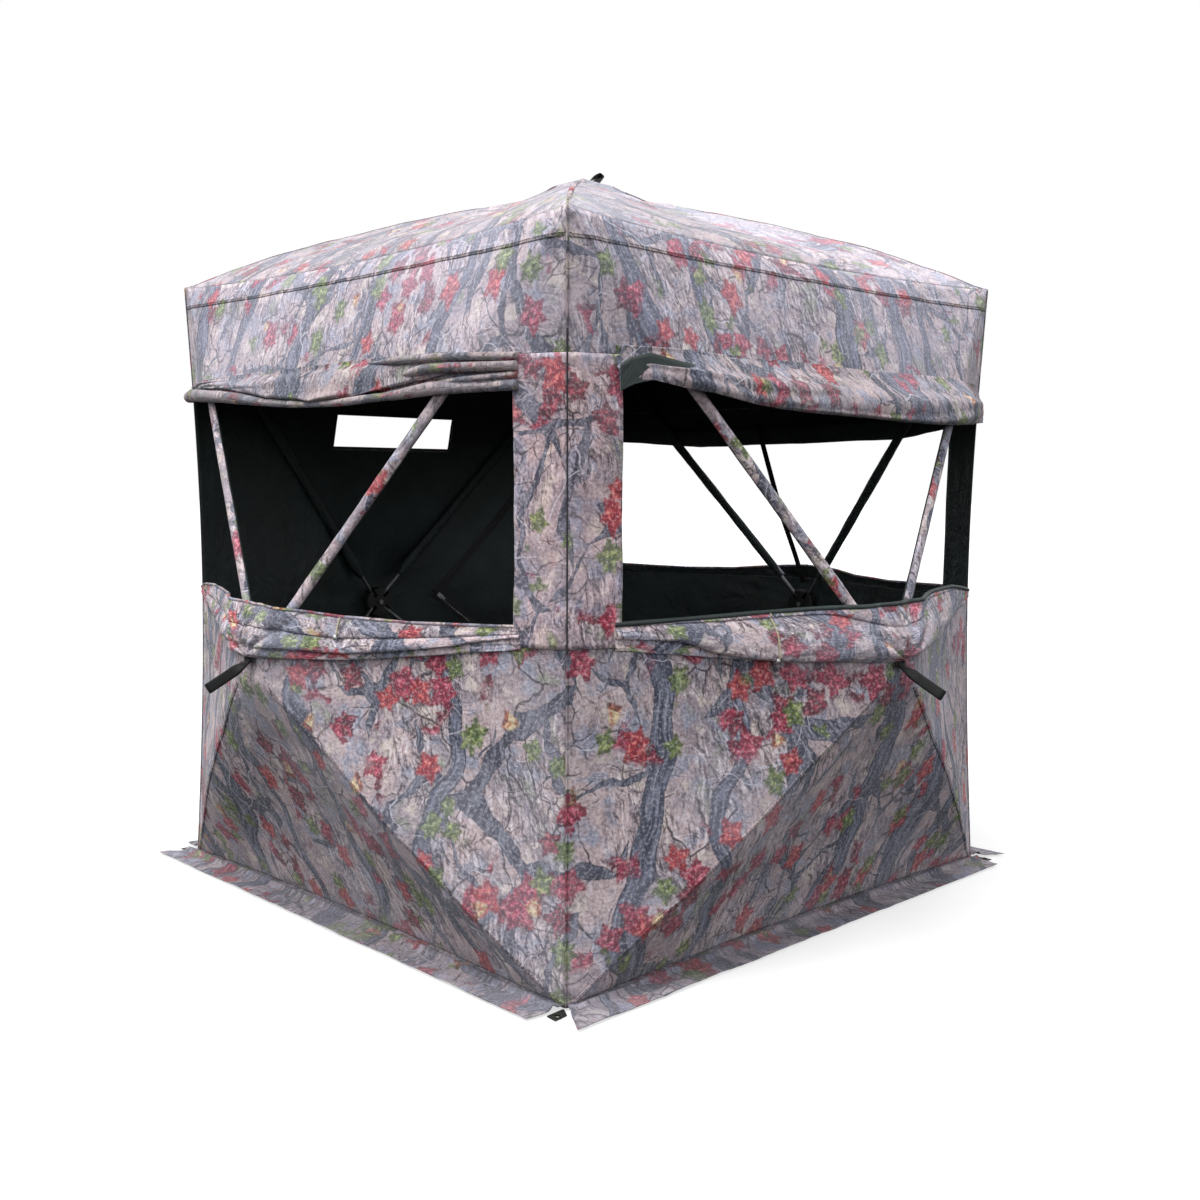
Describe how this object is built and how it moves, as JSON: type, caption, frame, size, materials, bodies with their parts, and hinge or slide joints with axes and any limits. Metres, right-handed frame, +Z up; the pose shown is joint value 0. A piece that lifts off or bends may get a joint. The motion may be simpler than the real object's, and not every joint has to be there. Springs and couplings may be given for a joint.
{
  "type": "pop up ground blind",
  "caption": "Square pop-up fabric blind: sprung hub in each wall and the roof, fibreglass poles to the corners, wide windows, a door and ground flaps.",
  "frame": {"origin": "centre of the footprint, on the ground", "axes": "+Z up, front wall faces -Y, right wall +X, back wall +Y, door wall -X"},
  "size_m": [2.2564, 2.2564, 1.8542],
  "materials": {
    "camo_wall": "printed woven polyester, matt",
    "camo_roof": "printed woven polyester, slight sheen",
    "camo_skirt": "printed woven polyester, matt",
    "fibreglass_pole": "pultruded fibreglass, satin",
    "hub_plastic": "moulded nylon, matt",
    "hub_cap_plastic": "moulded nylon, satin",
    "webbing": "woven polypropylene webbing",
    "grommet_metal": "blackened brass",
    "zip_metal": "nickel plated"
  },
  "bodies": {
    "root": {"ground_skirt": "camo_skirt", "roof_panel": "camo_roof", "front_wall_panel": "camo_wall", "right_wall_panel": "camo_wall", "back_wall_panel": "camo_wall", "left_wall_panel": "camo_wall", "top_corner_sockets": "hub_plastic", "bottom_corner_feet": "webbing", "stake_grommets": "grommet_metal"},
    "front_hub": {"front_hub": "hub_plastic", "front_hub_cap": "hub_cap_plastic"},
    "front_pole_top_right": {"front_pole_top_right": "fibreglass_pole"},
    "front_pole_top_left": {"front_pole_top_left": "fibreglass_pole"},
    "front_pole_bottom_left": {"front_pole_bottom_left": "fibreglass_pole"},
    "front_pole_bottom_right": {"front_pole_bottom_right": "fibreglass_pole"},
    "front_pull_strap": {"front_pull_strap": "webbing"},
    "right_hub": {"right_hub": "hub_plastic", "right_hub_cap": "hub_cap_plastic"},
    "right_pole_top_right": {"right_pole_top_right": "fibreglass_pole"},
    "right_pole_top_left": {"right_pole_top_left": "fibreglass_pole"},
    "right_pole_bottom_left": {"right_pole_bottom_left": "fibreglass_pole"},
    "right_pole_bottom_right": {"right_pole_bottom_right": "fibreglass_pole"},
    "right_pull_strap": {"right_pull_strap": "webbing"},
    "back_hub": {"back_hub": "hub_plastic", "back_hub_cap": "hub_cap_plastic"},
    "back_pole_top_right": {"back_pole_top_right": "fibreglass_pole"},
    "back_pole_top_left": {"back_pole_top_left": "fibreglass_pole"},
    "back_pole_bottom_left": {"back_pole_bottom_left": "fibreglass_pole"},
    "back_pole_bottom_right": {"back_pole_bottom_right": "fibreglass_pole"},
    "back_pull_strap": {"back_pull_strap": "webbing"},
    "left_hub": {"left_hub": "hub_plastic", "left_hub_cap": "hub_cap_plastic"},
    "left_pole_top_right": {"left_pole_top_right": "fibreglass_pole"},
    "left_pole_top_left": {"left_pole_top_left": "fibreglass_pole"},
    "left_pole_bottom_left": {"left_pole_bottom_left": "fibreglass_pole"},
    "left_pole_bottom_right": {"left_pole_bottom_right": "fibreglass_pole"},
    "left_pull_strap": {"left_pull_strap": "webbing"},
    "roof_hub": {"roof_hub": "hub_plastic", "roof_hub_cap": "hub_cap_plastic"},
    "roof_pole_front_right": {"roof_pole_front_right": "fibreglass_pole"},
    "roof_pole_back_right": {"roof_pole_back_right": "fibreglass_pole"},
    "roof_pole_back_left": {"roof_pole_back_left": "fibreglass_pole"},
    "roof_pole_front_left": {"roof_pole_front_left": "fibreglass_pole"},
    "roof_pull_strap": {"roof_pull_strap": "webbing"},
    "front_left_side_panel": {"front_left_side_panel": "camo_wall"},
    "front_left_window_cover": {"front_left_window_cover": "camo_wall"},
    "front_right_side_panel": {"front_right_side_panel": "camo_wall"},
    "front_right_window_cover": {"front_right_window_cover": "camo_wall"},
    "right_left_side_panel": {"right_left_side_panel": "camo_wall"},
    "right_left_window_cover": {"right_left_window_cover": "camo_wall"},
    "right_right_side_panel": {"right_right_side_panel": "camo_wall"},
    "right_right_window_cover": {"right_right_window_cover": "camo_wall"},
    "back_left_side_panel": {"back_left_side_panel": "camo_wall"},
    "back_left_window_cover": {"back_left_window_cover": "camo_wall"},
    "back_right_side_panel": {"back_right_side_panel": "camo_wall"},
    "back_right_window_cover": {"back_right_window_cover": "camo_wall"},
    "left_left_side_panel": {"left_left_side_panel": "camo_wall"},
    "left_right_side_panel": {"left_right_side_panel": "camo_wall"},
    "door_flap": {"door_flap": "camo_wall"},
    "door_zip_slider": {"door_zip_slider": "zip_metal"}
  },
  "joints": [
    {"name": "front_hub_pop", "type": "slide", "parent": "root", "child": "front_hub", "axis": [0, -1, 0], "range_m": [-0.476, 0]},
    {"name": "front_pole_top_right_hinge", "type": "hinge", "parent": "front_hub", "child": "front_pole_top_right", "pos_m": [0.02179, -0.97, 0.6581], "axis": [-0.7675, 0, 0.641], "range_deg": [-23.68, 0]},
    {"name": "front_pole_top_left_hinge", "type": "hinge", "parent": "front_hub", "child": "front_pole_top_left", "pos_m": [-0.02179, -0.97, 0.6581], "axis": [-0.7675, 0, -0.641], "range_deg": [-23.68, 0]},
    {"name": "front_pole_bottom_left_hinge", "type": "hinge", "parent": "front_hub", "child": "front_pole_bottom_left", "pos_m": [-0.026, -0.97, 0.61009], "axis": [0.6444, 0, -0.7647], "range_deg": [-28.24, 0]},
    {"name": "front_pole_bottom_right_hinge", "type": "hinge", "parent": "front_hub", "child": "front_pole_bottom_right", "pos_m": [0.026, -0.97, 0.61009], "axis": [0.6444, 0, 0.7647], "range_deg": [-28.24, 0]},
    {"name": "front_pull_strap_swing", "type": "hinge", "parent": "front_hub", "child": "front_pull_strap", "pos_m": [0, -0.994, 0.632], "axis": [1, 0, 0], "range_deg": [-21, 63]},
    {"name": "right_hub_pop", "type": "slide", "parent": "root", "child": "right_hub", "axis": [1, 0, 0], "range_m": [-0.476, 0]},
    {"name": "right_pole_top_right_hinge", "type": "hinge", "parent": "right_hub", "child": "right_pole_top_right", "pos_m": [0.97, 0.02179, 0.6581], "axis": [0, -0.7675, 0.641], "range_deg": [-23.68, 0]},
    {"name": "right_pole_top_left_hinge", "type": "hinge", "parent": "right_hub", "child": "right_pole_top_left", "pos_m": [0.97, -0.02179, 0.6581], "axis": [0, -0.7675, -0.641], "range_deg": [-23.68, 0]},
    {"name": "right_pole_bottom_left_hinge", "type": "hinge", "parent": "right_hub", "child": "right_pole_bottom_left", "pos_m": [0.97, -0.026, 0.61009], "axis": [0, 0.6444, -0.7647], "range_deg": [-28.24, 0]},
    {"name": "right_pole_bottom_right_hinge", "type": "hinge", "parent": "right_hub", "child": "right_pole_bottom_right", "pos_m": [0.97, 0.026, 0.61009], "axis": [0, 0.6444, 0.7647], "range_deg": [-28.24, 0]},
    {"name": "right_pull_strap_swing", "type": "hinge", "parent": "right_hub", "child": "right_pull_strap", "pos_m": [0.994, 0, 0.632], "axis": [0, 1, 0], "range_deg": [-21, 63]},
    {"name": "back_hub_pop", "type": "slide", "parent": "root", "child": "back_hub", "axis": [0, 1, 0], "range_m": [-0.476, 0]},
    {"name": "back_pole_top_right_hinge", "type": "hinge", "parent": "back_hub", "child": "back_pole_top_right", "pos_m": [-0.02179, 0.97, 0.6581], "axis": [0.7675, 0, 0.641], "range_deg": [-23.68, 0]},
    {"name": "back_pole_top_left_hinge", "type": "hinge", "parent": "back_hub", "child": "back_pole_top_left", "pos_m": [0.02179, 0.97, 0.6581], "axis": [0.7675, 0, -0.641], "range_deg": [-23.68, 0]},
    {"name": "back_pole_bottom_left_hinge", "type": "hinge", "parent": "back_hub", "child": "back_pole_bottom_left", "pos_m": [0.026, 0.97, 0.61009], "axis": [-0.6444, 0, -0.7647], "range_deg": [-28.24, 0]},
    {"name": "back_pole_bottom_right_hinge", "type": "hinge", "parent": "back_hub", "child": "back_pole_bottom_right", "pos_m": [-0.026, 0.97, 0.61009], "axis": [-0.6444, 0, 0.7647], "range_deg": [-28.24, 0]},
    {"name": "back_pull_strap_swing", "type": "hinge", "parent": "back_hub", "child": "back_pull_strap", "pos_m": [0, 0.994, 0.632], "axis": [-1, 0, 0], "range_deg": [-21, 63]},
    {"name": "left_hub_pop", "type": "slide", "parent": "root", "child": "left_hub", "axis": [-1, 0, 0], "range_m": [-0.476, 0]},
    {"name": "left_pole_top_right_hinge", "type": "hinge", "parent": "left_hub", "child": "left_pole_top_right", "pos_m": [-0.97, -0.02179, 0.6581], "axis": [0, 0.7675, 0.641], "range_deg": [-23.68, 0]},
    {"name": "left_pole_top_left_hinge", "type": "hinge", "parent": "left_hub", "child": "left_pole_top_left", "pos_m": [-0.97, 0.02179, 0.6581], "axis": [0, 0.7675, -0.641], "range_deg": [-23.68, 0]},
    {"name": "left_pole_bottom_left_hinge", "type": "hinge", "parent": "left_hub", "child": "left_pole_bottom_left", "pos_m": [-0.97, 0.026, 0.61009], "axis": [0, -0.6444, -0.7647], "range_deg": [-28.24, 0]},
    {"name": "left_pole_bottom_right_hinge", "type": "hinge", "parent": "left_hub", "child": "left_pole_bottom_right", "pos_m": [-0.97, -0.026, 0.61009], "axis": [0, -0.6444, 0.7647], "range_deg": [-28.24, 0]},
    {"name": "left_pull_strap_swing", "type": "hinge", "parent": "left_hub", "child": "left_pull_strap", "pos_m": [-0.994, 0, 0.632], "axis": [0, -1, 0], "range_deg": [-21, 63]},
    {"name": "roof_hub_pop", "type": "slide", "parent": "root", "child": "roof_hub", "axis": [0, 0, 1], "range_m": [-0.526, 0]},
    {"name": "roof_pole_front_right_hinge", "type": "hinge", "parent": "roof_hub", "child": "roof_pole_front_right", "pos_m": [0.02404, -0.02404, 1.775], "axis": [0.7071, 0.7071, 0], "range_deg": [-28.75, 0]},
    {"name": "roof_pole_back_right_hinge", "type": "hinge", "parent": "roof_hub", "child": "roof_pole_back_right", "pos_m": [0.02404, 0.02404, 1.775], "axis": [-0.7071, 0.7071, 0], "range_deg": [-28.75, 0]},
    {"name": "roof_pole_back_left_hinge", "type": "hinge", "parent": "roof_hub", "child": "roof_pole_back_left", "pos_m": [-0.02404, 0.02404, 1.775], "axis": [-0.7071, -0.7071, 0], "range_deg": [-28.75, 0]},
    {"name": "roof_pole_front_left_hinge", "type": "hinge", "parent": "roof_hub", "child": "roof_pole_front_left", "pos_m": [-0.02404, -0.02404, 1.775], "axis": [0.7071, -0.7071, 0], "range_deg": [-28.75, 0]},
    {"name": "roof_pull_strap_swing", "type": "hinge", "parent": "roof_hub", "child": "roof_pull_strap", "pos_m": [0, 0, 1.799], "axis": [0.8829, 0.4695, 0], "range_deg": [-8, 62]},
    {"name": "front_left_side_panel_fold", "type": "hinge", "parent": "root", "child": "front_left_side_panel", "pos_m": [-0.75, -0.75, 0.612], "axis": [0, 0, 1], "range_deg": [0, 35.23]},
    {"name": "front_left_window_cover_raise", "type": "slide", "parent": "front_left_side_panel", "child": "front_left_window_cover", "axis": [0, 0, 1], "range_m": [0, 0.43]},
    {"name": "front_right_side_panel_fold", "type": "hinge", "parent": "root", "child": "front_right_side_panel", "pos_m": [0.75, -0.75, 0.612], "axis": [0, 0, 1], "range_deg": [-35.23, 0]},
    {"name": "front_right_window_cover_raise", "type": "slide", "parent": "front_right_side_panel", "child": "front_right_window_cover", "axis": [0, 0, 1], "range_m": [0, 0.43]},
    {"name": "right_left_side_panel_fold", "type": "hinge", "parent": "root", "child": "right_left_side_panel", "pos_m": [0.75, -0.75, 0.612], "axis": [0, 0, 1], "range_deg": [0, 35.23]},
    {"name": "right_left_window_cover_raise", "type": "slide", "parent": "right_left_side_panel", "child": "right_left_window_cover", "axis": [0, 0, 1], "range_m": [0, 0.43]},
    {"name": "right_right_side_panel_fold", "type": "hinge", "parent": "root", "child": "right_right_side_panel", "pos_m": [0.75, 0.75, 0.612], "axis": [0, 0, 1], "range_deg": [-35.23, 0]},
    {"name": "right_right_window_cover_raise", "type": "slide", "parent": "right_right_side_panel", "child": "right_right_window_cover", "axis": [0, 0, 1], "range_m": [0, 0.43]},
    {"name": "back_left_side_panel_fold", "type": "hinge", "parent": "root", "child": "back_left_side_panel", "pos_m": [0.75, 0.75, 0.612], "axis": [0, 0, 1], "range_deg": [0, 35.23]},
    {"name": "back_left_window_cover_raise", "type": "slide", "parent": "back_left_side_panel", "child": "back_left_window_cover", "axis": [0, 0, 1], "range_m": [0, 0.43]},
    {"name": "back_right_side_panel_fold", "type": "hinge", "parent": "root", "child": "back_right_side_panel", "pos_m": [-0.75, 0.75, 0.612], "axis": [0, 0, 1], "range_deg": [-35.23, 0]},
    {"name": "back_right_window_cover_raise", "type": "slide", "parent": "back_right_side_panel", "child": "back_right_window_cover", "axis": [0, 0, 1], "range_m": [0, 0.43]},
    {"name": "left_left_side_panel_fold", "type": "hinge", "parent": "root", "child": "left_left_side_panel", "pos_m": [-0.75, 0.75, 0.612], "axis": [0, 0, 1], "range_deg": [0, 35.23]},
    {"name": "left_right_side_panel_fold", "type": "hinge", "parent": "root", "child": "left_right_side_panel", "pos_m": [-0.75, -0.75, 0.612], "axis": [0, 0, 1], "range_deg": [-35.23, 0]},
    {"name": "door_open", "type": "hinge", "parent": "left_left_side_panel", "child": "door_flap", "pos_m": [-0.75952, 0.72, 0.7], "axis": [0, 0, -1], "range_deg": [0, 110]},
    {"name": "door_zip_slide", "type": "slide", "parent": "left_left_side_panel", "child": "door_zip_slider", "axis": [0.2358, 0.7431, -0.6262], "range_m": [0, 0.642]}
  ],
  "couplings": [
    {"joint": "front_pole_top_right_hinge", "follows": "front_hub_pop", "rad_per_m": 0.86773},
    {"joint": "front_pole_top_left_hinge", "follows": "front_hub_pop", "rad_per_m": 0.86773},
    {"joint": "front_pole_bottom_left_hinge", "follows": "front_hub_pop", "rad_per_m": 1.0348},
    {"joint": "front_pole_bottom_right_hinge", "follows": "front_hub_pop", "rad_per_m": 1.0348},
    {"joint": "right_pole_top_right_hinge", "follows": "right_hub_pop", "rad_per_m": 0.86773},
    {"joint": "right_pole_top_left_hinge", "follows": "right_hub_pop", "rad_per_m": 0.86773},
    {"joint": "right_pole_bottom_left_hinge", "follows": "right_hub_pop", "rad_per_m": 1.0348},
    {"joint": "right_pole_bottom_right_hinge", "follows": "right_hub_pop", "rad_per_m": 1.0348},
    {"joint": "back_pole_top_right_hinge", "follows": "back_hub_pop", "rad_per_m": 0.86773},
    {"joint": "back_pole_top_left_hinge", "follows": "back_hub_pop", "rad_per_m": 0.86773},
    {"joint": "back_pole_bottom_left_hinge", "follows": "back_hub_pop", "rad_per_m": 1.0348},
    {"joint": "back_pole_bottom_right_hinge", "follows": "back_hub_pop", "rad_per_m": 1.0348},
    {"joint": "left_pole_top_right_hinge", "follows": "left_hub_pop", "rad_per_m": 0.86773},
    {"joint": "left_pole_top_left_hinge", "follows": "left_hub_pop", "rad_per_m": 0.86773},
    {"joint": "left_pole_bottom_left_hinge", "follows": "left_hub_pop", "rad_per_m": 1.0348},
    {"joint": "left_pole_bottom_right_hinge", "follows": "left_hub_pop", "rad_per_m": 1.0348},
    {"joint": "roof_pole_front_right_hinge", "follows": "roof_hub_pop", "rad_per_m": 0.95353},
    {"joint": "roof_pole_back_right_hinge", "follows": "roof_hub_pop", "rad_per_m": 0.95353},
    {"joint": "roof_pole_back_left_hinge", "follows": "roof_hub_pop", "rad_per_m": 0.95353},
    {"joint": "roof_pole_front_left_hinge", "follows": "roof_hub_pop", "rad_per_m": 0.95353},
    {"joint": "front_left_side_panel_fold", "follows": "front_hub_pop", "rad_per_m": -1.2911},
    {"joint": "front_right_side_panel_fold", "follows": "front_hub_pop", "rad_per_m": 1.2911},
    {"joint": "front_right_window_cover_raise", "follows": "front_left_window_cover_raise", "ratio": 1},
    {"joint": "right_left_side_panel_fold", "follows": "right_hub_pop", "rad_per_m": -1.2911},
    {"joint": "right_right_side_panel_fold", "follows": "right_hub_pop", "rad_per_m": 1.2911},
    {"joint": "right_left_window_cover_raise", "follows": "right_right_window_cover_raise", "ratio": 1},
    {"joint": "back_left_side_panel_fold", "follows": "back_hub_pop", "rad_per_m": -1.2911},
    {"joint": "back_right_side_panel_fold", "follows": "back_hub_pop", "rad_per_m": 1.2911},
    {"joint": "back_right_window_cover_raise", "follows": "back_left_window_cover_raise", "ratio": 1},
    {"joint": "left_left_side_panel_fold", "follows": "left_hub_pop", "rad_per_m": -1.2911},
    {"joint": "left_right_side_panel_fold", "follows": "left_hub_pop", "rad_per_m": 1.2911}
  ]
}
